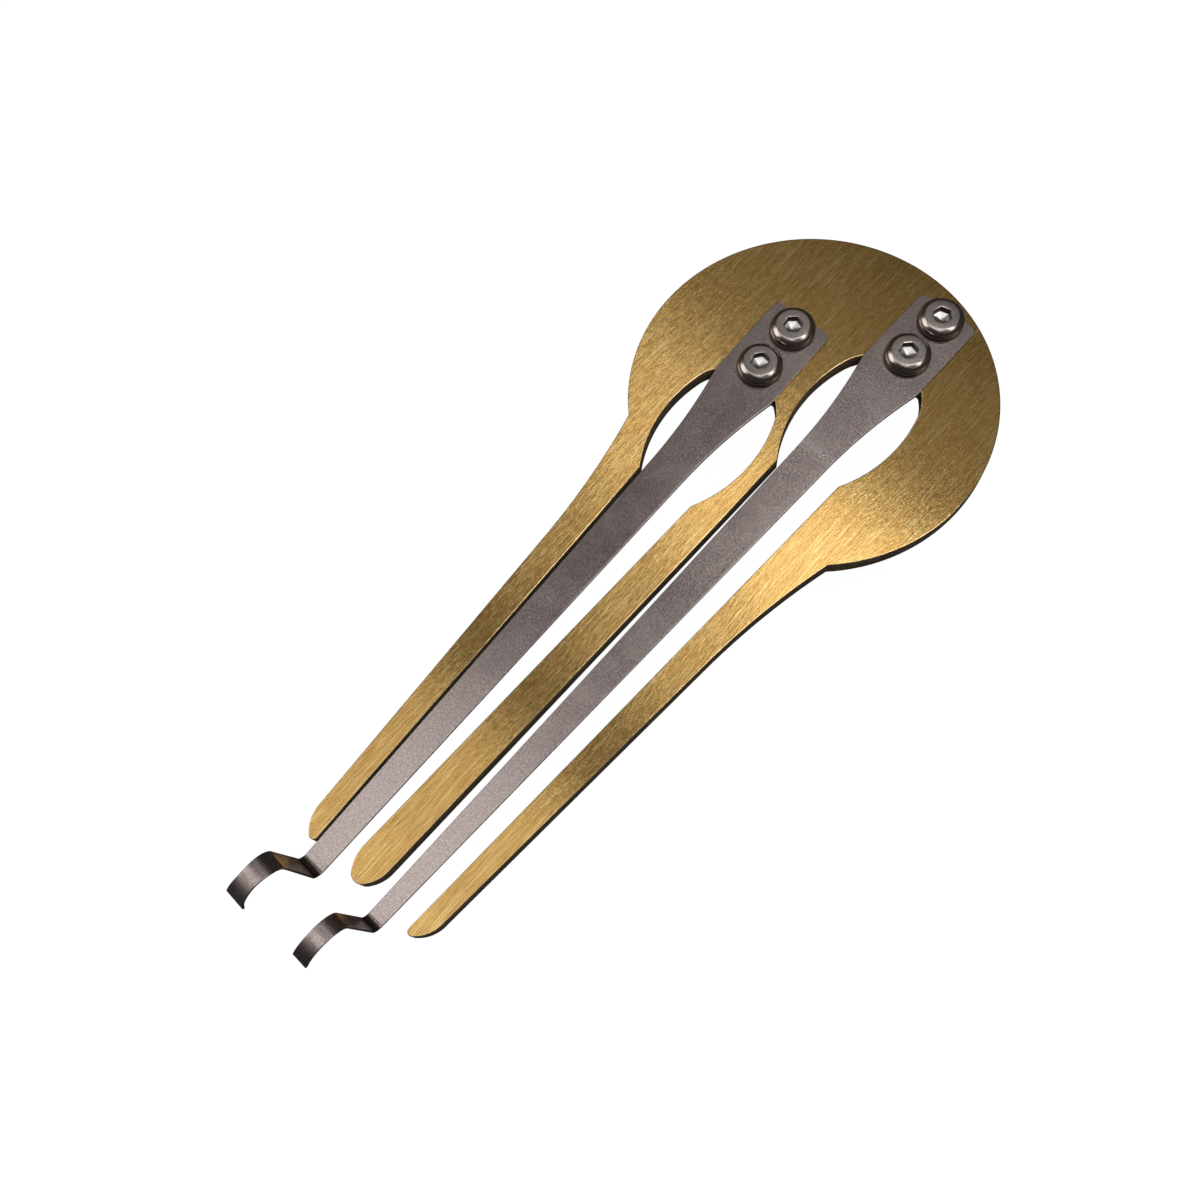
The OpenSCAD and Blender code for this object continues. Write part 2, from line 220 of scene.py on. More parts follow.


# Brushed brass: the marks of the brushing darken, lighten and roughen it, its scratches are lighter, its rims are
# lighter from wear and a painted highlight, and every reflection is spread across the lines.
def makeBrass(style):
    material, tree, shader, grain = startMetal("brushedBrass", style["grain"])
    face = mixColour(tree, weigh(tree, grain, style["contrast"]), style["darkTint"], style["lightTint"])
    scratches = remap(tree, grain["Hairlines"], *style["scratchSpan"], 0, style["scratchShare"])
    face = mixColour(tree, scratches, face, style["scratchTint"])
    # lighter rims, from wear and a painted highlight
    rim = combine(tree, "MULTIPLY", attribute(tree, "wearAndHighlight"), style["rimWearAndHighlightShare"])
    tangent = addNode(tree, "ShaderNodeTangent", direction_type="UV_MAP", uv_map="flat").outputs[0]
    connect(tree, shader, Base_Color=mixColour(tree, rim, face, style["rimWearAndHighlightTint"]),
            Roughness=roughen(tree, grain["Flecks"], style["roughness"]),
            Normal=raiseMarks(tree, style["depth"], weigh(tree, grain, style["relief"])), Tangent=tangent)
    shader.inputs["Anisotropic"].default_value = style["anisotropy"]
    return material


edgeStyle = {
    "darkTint": rgba(0.26, 0.20, 0.15),
    "lightTint": rgba(0.52, 0.38, 0.20),
    "lightSpan": (0.4, 0.9),
    "lightShare": 0.7,
    "metallic": 0.4,
    "grain": {"Line Width": 0.15, "Line Length": 0.5, "Fleck Width": 0.12, "Fleck Length": 0.3, "Patch Size": 3},
    "roughness": (0.7, 0.9),
    "depth": 0.01 * mm,
}


# The sawn edge of the sheet: darker and duller than its face, with lighter patches
def makeCutEdge(style):
    material, tree, shader, grain = startMetal("cutEdge", style["grain"])
    light = remap(tree, grain["Patches"], *style["lightSpan"], 0, style["lightShare"])
    connect(tree, shader, Base_Color=mixColour(tree, light, style["darkTint"], style["lightTint"]),
            Roughness=roughen(tree, grain["Flecks"], style["roughness"]),
            Normal=raiseMarks(tree, style["depth"], grain["Lines"]))
    shader.inputs["Metallic"].default_value = style["metallic"]
    return material


brass = makeBrass(brassStyle)
cutEdge = makeCutEdge(edgeStyle)

plateStyle = {
    "thickness": 2.2,
    "play": 0.012,  # how far the walls stand inside the solid's
    "edgeRadius": 0.09,
    "edgeSteps": 4,
    "rimWidth": 0.03,
    "wallWearAndHighlight": 0.2,
    "arcSteps": 6,
    "flatScale": 0.01,  # of the flat map, which only gives the direction of the brushing
}


# The outlines of a node's flat top at that height, with the material on their left, as (x, y) arrays: the sides
# that only one of its triangles has, each followed by the one that starts where it ends. Jumps that double their
# length tell every side the lowest number on its outline and its distance to that one, which give the order.
def readOutlines(node, level):
    mesh = node.data
    place = np.empty(len(mesh.vertices) * 3)
    mesh.vertices.foreach_get("co", place)
    place = place.reshape(-1, 3) / mm
    mesh.calc_loop_triangles()
    corners = np.empty(len(mesh.loop_triangles) * 3, int)
    mesh.loop_triangles.foreach_get("vertices", corners)
    flat = corners.reshape(-1, 3)
    flat = flat[(np.abs(place[flat][:, :, 2] - level) < 0.001).all(axis=1)]  # to a micrometre
    points, merged = np.unique(place[:, :2].round(4), axis=0, return_inverse=True)  # corners at one place are one
    flat = merged.reshape(-1)[flat]
    sides = np.concatenate([flat[:, [0, 1]], flat[:, [1, 2]], flat[:, [2, 0]]])
    lone = ~np.isin(sides @ [len(points), 1], sides @ [1, len(points)])
    sides = sides[lone][np.argsort(sides[lone][:, 0])]
    follow = np.searchsorted(sides[:, 0], sides[:, 1])
    own = np.arange(len(follow))
    lowest, ahead = own, follow
    for _ in range(len(own).bit_length()):
        lowest, ahead = np.minimum(lowest, lowest[ahead]), ahead[ahead]
    first = lowest == own
    distance, ahead = np.where(first, 0, 1), np.where(first, own, follow)
    for _ in range(len(own).bit_length()):
        distance, ahead = distance + distance[ahead], ahead[ahead]
    order = np.lexsort((np.where(first, -len(own), -distance), lowest))
    starts = np.flatnonzero(np.diff(lowest[order], prepend=-1))
    return np.split(points[sides[order, 0]], starts[1:])


# An outline with its arcs drawn finely. A side belongs to an arc if it and a neighbour are equally long and meet
# at a small angle, which is then the arc's angle over that side. The arc's points lie half a chord and
# sin((s - 1/2) angle) / (2 sin(angle / 2)) chords along it, and as far beside it as the circle stands off.
def refineArcs(outline, steps):
    shortest, evenness = 0.02, 0.03  # mm, and the share by which the lengths may differ
    widest, straight = math.radians(25), 1e-4  # the largest angle of an arc's side, and one that counts as none
    gap = np.linalg.norm(np.roll(outline, -1, axis=0) - outline, axis=1)
    outline = outline[gap > shortest]
    step = np.roll(outline, -1, axis=0) - outline
    length = np.linalg.norm(step, axis=1)
    heading = np.arctan2(step[:, 1], step[:, 0])
    turn = (heading - np.roll(heading, 1) + np.pi) % (2 * np.pi) - np.pi
    even = (np.abs(length - np.roll(length, 1)) < evenness * length) & (np.abs(turn) < widest)
    angle = np.where(even, turn, np.where(np.roll(even, -1), np.roll(turn, -1), 0))
    angle = np.where(np.abs(angle) < straight, straight, angle)[:, None]
    share = (np.arange(steps) / steps)[None, :]
    along = 0.5 + np.sin((share - 0.5) * angle) / (2 * np.sin(angle / 2))
    across = -(np.cos((share - 0.5) * angle) - np.cos(angle / 2)) / (2 * np.sin(angle / 2))
    side = np.stack([-step[:, 1], step[:, 0]], axis=1)
    return (outline[:, None] + along[..., None] * step[:, None] + across[..., None] * side[:, None]).reshape(-1, 2)


# For each point of an outline, the way to go for 1 mm of inset: the sum of the normals of both its sides over
# one plus their scalar product
def insetWay(outline):
    step = np.roll(outline, -1, axis=0) - outline
    step /= np.linalg.norm(step, axis=1)[:, None]
    normal = np.stack([-step[:, 1], step[:, 0]], axis=1)
    before = np.roll(normal, 1, axis=0)
    return (normal + before) / (1 + (normal * before).sum(axis=1))[:, None]


# Triangles between the outline that runs anticlockwise and its holes, which run clockwise
def fillFlat(points, loops):
    flat = [points[loop, :2] for loop in loops]
    turned = [np.cross(line, np.roll(line, -1, axis=0)).sum() > 0 for line in flat]
    ends = np.cumsum([0] + [len(line) for line in flat])
    rings = [list(range(a, b)) if plus else list(range(b - 1, a - 1, -1))
             for a, b, plus in zip(ends, ends[1:], turned)]
    # 1 keeps what is inside the rings, and True also gives the point and the rings that each result comes from
    filled = delaunay_2d_cdt([Vector(p) for p in np.concatenate(flat).tolist()], [], rings, 1, 1e-7, True)
    origin = np.array([source[0] for source in filled[3]])
    inside = np.array([len(source) == 1 and turned[source[0]] for source in filled[5]])
    return np.concatenate(loops)[origin[np.array(filled[2])[inside]]]


# The plate is a profile that is carried along each outline: from the face over a quarter circle, whose inset is
# r (1 - sin t) and whose drop is r (1 - cos t), down the wall and round to the back. Both faces are then filled.
def makePlate(style):
    radius, edge, top = style["edgeRadius"], style["edgeSteps"], style["thickness"]
    turn = np.linspace(0, np.pi / 2, edge)
    inset = radius * (1 - np.sin(turn))
    drop = radius * (1 - np.cos(turn))
    # rows of (inset, height, wear and painted highlight) from the face over the edge down to the back
    rows = np.concatenate([
        [[radius + style["rimWidth"], top, 0]],
        np.stack([inset, top - drop, np.ones_like(inset)], axis=1),
        [[0, top / 2, style["wallWearAndHighlight"]]],
        np.stack([inset, drop, np.ones_like(inset)], axis=1)[::-1],
        [[radius + style["rimWidth"], 0, 0]],
    ])
    points, quads, wall, caps, wearAndHighlight, first = [], [], [], ([], []), [], 0
    for outline in readOutlines(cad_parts["frame_plate"], top):
        line = refineArcs(outline, style["arcSteps"])
        line = line + style["play"] * insetWay(line)
        flat = line[None] + rows[:, 0, None, None] * insetWay(line)[None]
        level = np.broadcast_to(rows[:, 1, None, None], flat.shape[:2] + (1,))
        points.append(np.concatenate([flat, level], axis=2).reshape(-1, 3))
        wearAndHighlight.append(np.repeat(rows[:, 2], len(line)))
        grid = gridQuads(len(rows), len(line), first).reshape(len(rows) - 1, len(line), 4)
        wall.append(grid[edge:edge + 2].reshape(-1, 4))
        quads.append(np.concatenate([grid[:edge], grid[edge + 2:]]).reshape(-1, 4))
        caps[0].append(first + np.arange(len(line)))
        caps[1].append(first + (len(rows) - 1) * len(line) + np.arange(len(line)))
        first += len(rows) * len(line)
    points = np.concatenate(points)
    faces = [fillFlat(points, loops) for loops in caps]
    return makePiece("harpPlate", points,
                     [(np.concatenate(quads), 0, True), (np.concatenate(wall), 1, True),
                      (np.concatenate(faces), 0, False)],
                     [brass, cutEdge], {"wearAndHighlight": np.concatenate(wearAndHighlight)}, points[:, :2] * style["flatScale"])


plate = makePlate(plateStyle)
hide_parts("frame_plate")
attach(plate, "frame")
print("plate made:", len(plate.data.polygons), "faces")

reedSteelStyle = {
    "darkTint": rgba(0.40, 0.327, 0.31),
    "lightTint": rgba(0.64, 0.535, 0.505),
    "rubTint": rgba(0.90, 0.80, 0.77),
    "rubSpan": (0.35, 0.75, 0.2, 1),  # flecks between the first two numbers give the rub these shares
    "rubRoughness": 0.12,
    # painted shade: the dark tint laid over the curve of the foot
    "bendTint": rgba(0.10, 0.085, 0.08),
    "triggerRoughness": 0.07,
    "grain": {"Line Width": 0.3, "Line Length": 2.2, "Fleck Width": 0.2, "Fleck Length": 0.3, "Patch Size": 5},
    "contrast": {"Flecks": 0.9, "Lines": 0.3, "Patches": 0.3},
    "roughness": (0.22, 0.28),
    "depth": 0.002 * mm,
}


# Blank spring steel: lighter and rougher where it was rubbed, with painted shade darkening the curve of the foot,
# duller on the trigger
def makeReedSteel(style):
    material, tree, shader, grain = startMetal("reedSteel", style["grain"])
    face = mixColour(tree, weigh(tree, grain, style["contrast"]), style["darkTint"], style["lightTint"])
    specks = remap(tree, grain["Flecks"], *style["rubSpan"])
    rubbed = combine(tree, "MULTIPLY", attribute(tree, "rub"), specks, clamp=True)
    colour = mixColour(tree, rubbed, face, style["rubTint"])
    rough = roughen(tree, grain["Patches"], style["roughness"])
    rough = combine(tree, "ADD", rough, combine(tree, "MULTIPLY", rubbed, style["rubRoughness"]))
    dull = combine(tree, "MULTIPLY", attribute(tree, "trigger"), style["triggerRoughness"])
    # the attribute mixes the painted shade in at the curve of the foot
    connect(tree, shader, Base_Color=mixColour(tree, attribute(tree, "bend"), colour, style["bendTint"]),
            Roughness=combine(tree, "ADD", rough, dull), Normal=raiseMarks(tree, style["depth"], grain["Flecks"]))
    return material


reedSteel = makeReedSteel(reedSteelStyle)

headY = 31.4303  # the middle of the round head, to which the places of the reeds are given
plateTop = plateStyle["thickness"]
stripStyle = {
    "thickness": 0.5, "triggerThickness": 0.3, "tabWidth": 8.2, "tabCorner": 0.8, "screwPitch": 6.35,
    "holeRadius": 1.6, "holeSteps": 64, "drillMargin": 1, "taperDrop": 3.2, "taperLength": 14.5,
    "flexDrop": 4.3, "flexBefore": 1.9, "flexAfter": 3,  # the strip bends over this length about its hinge
    "footRadius": 1.0, "kneeRadius": 2.05, "hookRadius": 3.59, "footAngle": 88, "kneeAngle": 71, "turnLength": 0.5,
    "edgeRadius": 0.05, "edgeSteps": 3, "flank": 0.03, "sharpAngle": 50,
    # the height and spread of the painted shade at the foot's curve are given here, with the rub's place
    "rubPlace": 16.6, "rubLength": 0.6, "bendHeight": 0.5, "bendSpread": 0.8, "lipShare": 0.14,
    "cornerStart": 0.02, "taperFrom": 3, "waistDelay": 6,
    "steps": {"corner": 7, "tab": 5, "taper": 47, "tongue": 69, "foot": 12, "leg": 9, "knee": 14, "hook": 30},
}
reedStyles = {
    "left": {"x": -6.9, "y": -1.3, "lean": 1.26, "overhang": 2.3, "root": 4.7, "tip": 2.8, "foot": 77.65,
             "leg": 8.344, "hookAngle": 67.8, "hookWidth": 2.35, "turn": -4.3, "waist": 0.10, "lip": 0.28, "rub": 0},
    "right": {"x": 5.75, "y": 10.85, "lean": -1.14, "overhang": 1.8, "root": 4.5, "tip": 2.05, "foot": 89.45,
              "leg": 8.644, "hookAngle": 66, "hookWidth": 1.95, "turn": -1, "waist": 0.03, "lip": 0, "rub": 0.55},
}


def footLength(style, reed):
    return reed["foot"] / math.cos(math.radians(reed["lean"])) \
        - (style["footRadius"] - style["triggerThickness"] / 2) * math.sin(math.radians(style["footAngle"]))


# Half of the width of a reed at the distance y from its front screw: a rounded corner, the straight tab, a
# concave arc that runs tangent into the tongue, and the evenly narrowing tongue.
def halfWidth(style, reed, foot, y):
    rear = style["screwPitch"] + reed["overhang"]
    corner = style["tabCorner"]
    tab = style["tabWidth"] / 2
    taperFoot = style["taperDrop"] + style["taperLength"]
    slope = (reed["root"] - reed["tip"]) / 2 / (foot - taperFoot)
    angle = math.atan(slope)
    dx, dy = tab - reed["root"] / 2, style["taperLength"]
    radius = (dx * dx + dy * dy) / 2 / (dx * math.cos(angle) - dy * math.sin(angle))
    rise = np.clip(y + taperFoot, 0, dy)
    taper = reed["root"] / 2 + radius * math.cos(angle) \
        - np.sqrt(radius ** 2 - (rise + radius * math.sin(angle)) ** 2)
    past = np.clip(y - (rear - corner), 0, corner)
    rounded = tab - corner + np.sqrt(np.maximum(corner ** 2 - past ** 2, 0))
    tongue = reed["root"] / 2 + (y + taperFoot) * slope
    return np.where(y < -taperFoot, tongue, np.where(y < -style["taperDrop"], taper, rounded))


# The stations of a reed from its rear end to the end of its hook: place of the middle, way across, way up, half
# widths to both sides and thickness, in the frame of its front screw with the reed along -Y. Its flat part is a
# straight line, ground down evenly. Its bent part is a run of steps, each along the mean of the directions at its
# ends, and the directions change evenly over the foot, the knee and the hook, and not at all over the leg.
def reedStations(style, reed):
    foot = footLength(style, reed)
    rear = style["screwPitch"] + reed["overhang"]
    corner = style["tabCorner"]
    taperFoot = style["taperDrop"] + style["taperLength"]
    thin = style["triggerThickness"]
    topZ = plateTop + style["thickness"]
    steps = style["steps"]
    y = np.concatenate([
        rear - corner + corner * np.cos(np.linspace(style["cornerStart"], np.pi / 2, steps["corner"] + 1)),
        np.linspace(rear - corner, style["taperFrom"], steps["tab"] + 1)[1:],
        np.linspace(style["taperFrom"], -taperFoot, steps["taper"] + 1)[1:],
        np.linspace(-taperFoot, -foot, steps["tongue"] + 1)[1:],
    ])
    half = halfWidth(style, reed, foot, y)
    ground = np.clip((-y - style["flexDrop"]) / (foot - style["flexDrop"]), 0, 1)
    thick = style["thickness"] + (thin - style["thickness"]) * ground
    footA, kneeA, hookA = (math.radians(a) for a in (style["footAngle"], style["kneeAngle"], reed["hookAngle"]))
    angles = [0, footA, footA, footA - kneeA, footA - kneeA - hookA]
    lengths = np.array([style["footRadius"] * footA, reed["leg"], style["kneeRadius"] * kneeA,
                        style["hookRadius"] * hookA])
    counts = np.array([steps["foot"], steps["leg"], steps["knee"], steps["hook"]])
    heading = np.concatenate([[0]] + [np.linspace(a, b, n + 1)[1:] for a, b, n in zip(angles, angles[1:], counts)])
    size = np.repeat(lengths / counts, counts)
    middle = (heading[1:] + heading[:-1]) / 2
    forward = np.concatenate([[0], np.cumsum(size * np.cos(middle))])
    up = np.concatenate([[0], np.cumsum(size * np.sin(middle))])
    legAt = 1 + steps["foot"]
    kneeAt = legAt + steps["leg"]
    waistAt = kneeAt + style["waistDelay"]
    bent = np.clip((up - thin / 2) / reed["leg"], 0, 1)
    bent[kneeAt:] = 1
    width = reed["tip"] / 2 + (reed["hookWidth"] - reed["tip"]) / 2 * bent
    share = np.clip((np.arange(len(up)) - waistAt) / (len(up) - 1 - waistAt), 0, 1)
    width = width * (1 - reed["waist"] * np.sin(np.pi * share) ** 2)
    lip = reed["lip"] * np.clip((share - (1 - style["lipShare"])) / style["lipShare"], 0, 1) ** 2
    turn = math.radians(reed["turn"]) * np.clip(forward / style["turnLength"], 0, 1)
    turn[legAt:] = math.radians(reed["turn"])
    place = np.concatenate([
        np.stack([np.zeros(len(y)), y, topZ - thick / 2], axis=1),
        np.stack([forward * np.sin(turn), -foot - forward * np.cos(turn), topZ - thin / 2 + up], axis=1)[1:],
    ])
    across = np.concatenate([np.tile([1.0, 0, 0], (len(y), 1)),
                             np.stack([np.cos(turn), np.sin(turn), np.zeros_like(turn)], axis=1)[1:]])
    lift = np.concatenate([np.tile([0, 0, 1.0], (len(y), 1)),
                           np.stack([-np.sin(heading) * np.sin(turn), np.sin(heading) * np.cos(turn),
                                     np.cos(heading)], axis=1)[1:]])
    left = np.concatenate([half, width[1:]])
    right = np.concatenate([half, (width + lip)[1:]])
    return place, across, lift, left, right, np.concatenate([thick, np.full(len(up) - 1, thin)])


# A strip with rounded edges through the stations: at each one a rectangle whose corners are quarter circles. Each
# corner starts and ends with a point a little way along the flat, so that the flats are shaded flat.
def makeReed(name, style, reed):
    place, across, lift, left, right, thick = reedStations(style, reed)
    corner = np.linspace(0, np.pi / 2, style["edgeSteps"])
    corner = np.concatenate([corner[:1], corner, corner[-1:]])
    angle = np.concatenate([corner + k * np.pi / 2 for k in range(4)])
    cos, sin = np.cos(angle), np.sin(angle)
    quarter = np.repeat(np.arange(4) * np.pi / 2 + np.pi / 4, len(corner))
    signX, signZ = np.sign(np.cos(quarter)), np.sign(np.sin(quarter))
    flank = np.tile(np.concatenate([[-1], np.zeros(len(corner) - 2), [1]]), 4) * style["flank"]
    radius = style["edgeRadius"]
    reach = np.where(signX[None] > 0, right[:, None], left[:, None]) - radius
    x = signX * reach + radius * cos - flank * sin * (sin.round(6) ** 2 == 1)
    z = signZ * (thick[:, None] / 2 - radius) + radius * sin + flank * cos * (cos.round(6) ** 2 == 1)
    rows, columns = x.shape
    points = (place[:, None] + x[..., None] * across[:, None] + z[..., None] * lift[:, None]).reshape(-1, 3)
    lean = math.radians(reed["lean"])
    c, s = math.cos(lean), math.sin(lean)
    turned = np.stack([c * points[:, 0] - s * points[:, 1] + reed["x"],
                       s * points[:, 0] + c * points[:, 1] + reed["y"] + headY, points[:, 2]], axis=1)
    # the rub is a bell curve along the strip, the painted shade at the curve of the foot is where the strip is steep
    # and low, and the trigger is all that stands higher
    high = place[:, 2] - plateTop - style["thickness"]
    steep = np.sqrt(np.maximum(1 - lift[:, 2], 0))
    marks = {
        "rub": reed["rub"] * np.exp(-((place[:, 1] + style["rubPlace"]) / style["rubLength"]) ** 2),
        "bend": steep * np.exp(-((high - style["bendHeight"]) / style["bendSpread"]) ** 2),
        "trigger": np.clip(high, 0, 1),
    }
    caps = [tuple(range(columns)), tuple(range((rows - 1) * columns, rows * columns))]
    return makePiece(name, turned, [(gridQuads(rows, columns), 0, True), (caps, 0, False)], [reedSteel],
                     {key: np.repeat(value, columns) for key, value in marks.items()})


# The place (x, y) on a reed that is so far behind its front screw
def alongReed(reed, back):
    lean = math.radians(reed["lean"])
    return reed["x"] - back * math.sin(lean), headY + reed["y"] + back * math.cos(lean)


# Drills the two screw holes of a reed
def drillHoles(piece, reed, style):
    count = style["holeSteps"]
    turn = np.linspace(0, 2 * np.pi, count, endpoint=False)
    low, high = plateTop - style["drillMargin"], plateTop + style["thickness"] + style["drillMargin"]
    cutters = []
    for back in (0, style["screwPitch"]):
        x, y = alongReed(reed, back)
        ring = np.stack([x + style["holeRadius"] * np.cos(turn), y + style["holeRadius"] * np.sin(turn)], axis=1)
        points = np.concatenate([np.c_[ring, np.full(count, low)], np.c_[ring, np.full(count, high)]])
        caps = [tuple(range(count)), tuple(range(count, 2 * count))]
        cutter = makePiece("drill", points, [(gridQuads(2, count), 0, False), (caps, 0, False)], [reedSteel])
        hole = piece.modifiers.new("hole", "BOOLEAN")
        hole.operation, hole.solver, hole.object = "DIFFERENCE", "EXACT", cutter
        cutters.append(cutter)
    bpy.context.view_layer.update()
    drilled = bpy.data.meshes.new_from_object(piece.evaluated_get(bpy.context.evaluated_depsgraph_get()))
    piece.modifiers.clear()
    piece.data = drilled
    for cutter in cutters:
        bpy.data.objects.remove(cutter)
    drilled.set_sharp_from_angle(angle=math.radians(style["sharpAngle"]))


for side, reed in reedStyles.items():
    strip = makeReed(side + "Reed", stripStyle, reed)
    drillHoles(strip, reed, stripStyle)
    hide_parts(side + "_reed_tab", side + "_reed_tongue")
    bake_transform(strip)
    print(side, "reed made:", len(strip.data.polygons), "faces")

screwSteelStyle = {
    "darkTint": rgba(0.45, 0.38, 0.345),
    "lightTint": rgba(0.76, 0.66, 0.61),
    "grain": {"Line Width": 0.4, "Line Length": 0.4, "Fleck Width": 0.15, "Fleck Length": 0.15, "Patch Size": 2.5},
    "contrast": {"Flecks": 0.35, "Patches": 0.3},
    "roughness": (0.2, 0.27),
    "depth": 0.0004 * mm,
}
# painted shade: a dark steel for the sides of the socket and round the foot of the head
shadeSteelStyle = screwSteelStyle | {
    "darkTint": rgba(0.10, 0.08, 0.07), "lightTint": rgba(0.20, 0.165, 0.145), "roughness": (0.4, 0.5)}
# painted highlight: a near-white steel for the floor of the socket
socketFloorHighlightStyle = screwSteelStyle | {
    "darkTint": rgba(0.75, 0.71, 0.68), "lightTint": rgba(1.0, 0.97, 0.94), "roughness": (0.28, 0.34)}


# Steel of the screws: satin on the head and the shank, with painted shade on the sides of the socket and round the
# foot of the head, and a painted highlight on the floor of the socket
def makeScrewSteel(name, style):
    material, tree, shader, grain = startMetal(name, style["grain"])
    tone = weigh(tree, grain, style["contrast"])
    connect(tree, shader, Base_Color=mixColour(tree, tone, style["darkTint"], style["lightTint"]),
            Roughness=roughen(tree, grain["Flecks"], style["roughness"]),
            Normal=raiseMarks(tree, style["depth"], grain["Flecks"]))
    return material


screwSteel = makeScrewSteel("screwSteel", screwSteelStyle)
shadeSteel = makeScrewSteel("shadeSteel", shadeSteelStyle)
socketFloorHighlight = makeScrewSteel("socketFloorHighlight", socketFloorHighlightStyle)

screwStyle = {
    "headRadius": 2.75, "headHeight": 1.5, "lipRadius": 0.22, "lipRows": 4,
    "rimWidth": 0.68, "rimDrop": 0.9, "rimStart": 32, "rimRows": 10,
    "foot": 0.28, "footRound": 0.3, "neck": 0.05, "shankRadius": 1.5, "shankPlay": 0.03, "reach": 2.6,
    "flats": 2.0, "depth": 1.0, "mouth": 0.04, "mouthDepth": (0.06, 0.02), "mouthRim": 0.05,
    "threadPitch": 0.5, "threadDepth": 0.27, "threadStart": 0.05, "threadRows": 40, "plainLength": 0.35,
    "threadRunIn": 0.2, "threadRunOut": 0.3, "columns": 96, "sharpAngle": 14,
    # the blunt cone at the floor of the socket: share of its half width, height over its depth, six-sided or not
    "floor": ((0, -0.18, 0), (0.4, -0.02, 0), (0.75, 0.12, 1), (0.86, 0.17, 1), (0.92, 0.18, 1), (0.97, 0.19, 1),
              (1, 0.22, 1)),
    "turns": {"left": (50, 38), "right": (45, 15)},
}


# A screw as one grid of columns round its axis: each row has a height and a radius that is a circle's, or a
# hexagon's, which is half of its flats over the cosine of the angle from the middle of the flat. The thread takes
# a zigzag wave off the radius, whose phase is the height over the pitch less the share of a turn.
def makeScrew(name, style, x, y, turn):
    columns = style["columns"]
    theta = np.linspace(0, 2 * np.pi, columns, endpoint=False)
    flat = style["flats"] / 2
    hexagon = flat / np.cos(theta % (np.pi / 3) - np.pi / 6)
    mouth = flat / math.cos(math.pi / 6) + style["mouth"]
    head, high, foot = style["headRadius"], style["headHeight"], style["foot"]
    floor = high - style["depth"]
    inside = [(flat * share, floor + height, six) for share, height, six in style["floor"]] + [
        (flat, high - style["mouthDepth"][0], 1), (flat + style["mouth"] / 2, high - style["mouthDepth"][1], 1),
        (mouth, high, 0), (mouth + style["mouthRim"], high, 0)]
    # a small round leads from the flat into the rim, which is part of an ellipse
    start = math.radians(style["rimStart"])
    lip = np.linspace(0, start, style["lipRows"])
    arc = np.linspace(start, np.pi / 2, style["rimRows"])[1:]
    lipOut, lipDown = style["lipRadius"] * np.sin(lip), style["lipRadius"] * (1 - np.cos(lip))
    arcOut = (np.sin(arc) - math.sin(start)) / (1 - math.sin(start)) * style["rimWidth"] + lipOut[-1]
    arcDown = (math.cos(start) - np.cos(arc)) / math.cos(start) * style["rimDrop"] + lipDown[-1]
    out, down = np.concatenate([lipOut, arcOut]), np.concatenate([lipDown, arcDown])
    rim = list(zip(head - out[-1] + out, high - down, np.zeros(len(out))))
    shank = style["shankRadius"] - style["shankPlay"]
    below = [(head, foot, 0), (head - foot * style["footRound"], foot * style["footRound"], 0), (head - foot, 0, 0),
             (style["shankRadius"] + style["neck"], 0, 0), (shank, -style["shankPlay"], 0),
             (shank, -style["plainLength"], 0)]
    rows = np.array(inside + rim + below)
    circle = rows[:, 0, None] * np.ones_like(theta)
    radius = np.where(rows[:, 2, None] > 0, rows[:, 0, None] / flat * hexagon, circle)
    level = rows[:, 1, None] * np.ones_like(theta)
    # the thread fades in below the plain length and out towards the end
    down = np.linspace(-style["plainLength"] - style["threadStart"], -style["reach"], style["threadRows"])[:, None]
    wave = np.abs(((down / style["threadPitch"] - theta / (2 * np.pi)) % 1) * 2 - 1)
    fadeOut = np.clip((down + style["reach"]) / style["threadRunOut"], 0, 1)
    fadeIn = np.clip((-style["plainLength"] - down) / style["threadRunIn"], 0, 1)
    thread = shank - style["threadDepth"] * (wave * fadeIn * fadeOut + (1 - fadeOut))
    radius = np.concatenate([radius, thread, np.zeros((1, columns))])
    level = np.concatenate([level, down * np.ones_like(theta), np.full((1, columns), -style["reach"])])
    angle = theta + math.radians(turn)
    points = np.stack([x + radius * np.cos(angle), y + radius * np.sin(angle),
                       level + plateTop + stripStyle["thickness"]], axis=-1)
    # the first and the last row are one point each
    ring = points[1:-1].reshape(-1, 3)
    bands = gridQuads(len(radius) - 2, columns).reshape(-1, columns, 4)
    column = np.arange(columns)
    across = (column + 1) % columns
    last = len(ring) - columns
    topFan = np.stack([column, across, np.full(columns, len(ring))], axis=1)
    endFan = np.stack([last + column, last + across, np.full(columns, len(ring) + 1)], axis=1)
    side = len(inside) + len(rim) - 2  # the first band below the rim
    parts = [
        (topFan, 2), (bands[:3], 2),  # floor of the socket, with a painted highlight
        (bands[3:7], 1),  # its sides, in painted shade
        (bands[7:side - 2], 0),  # head
        (bands[side - 2:side + 4], 1),  # lowest part of the rim, and the foot, in painted shade
        (bands[side + 4:], 0), (endFan, 0),  # shank
    ]
    screw = makePiece(name, np.concatenate([ring, points[0, :1], points[-1, :1]]),
                      [(part.reshape(-1, part.shape[-1]), slot, True) for part, slot in parts],
                      [screwSteel, shadeSteel, socketFloorHighlight])
    screw.data.set_sharp_from_angle(angle=math.radians(style["sharpAngle"]))
    return screw


for side, reed in reedStyles.items():
    for place, back, turn in zip(("front", "rear"), (0, stripStyle["screwPitch"]), screwStyle["turns"][side]):
        screw = makeScrew(side + place.capitalize() + "Screw", screwStyle, *alongReed(reed, back), turn + reed["lean"])
        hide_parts(side + "_" + place + "_screw")
        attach(screw, "frame")
print("screws made")

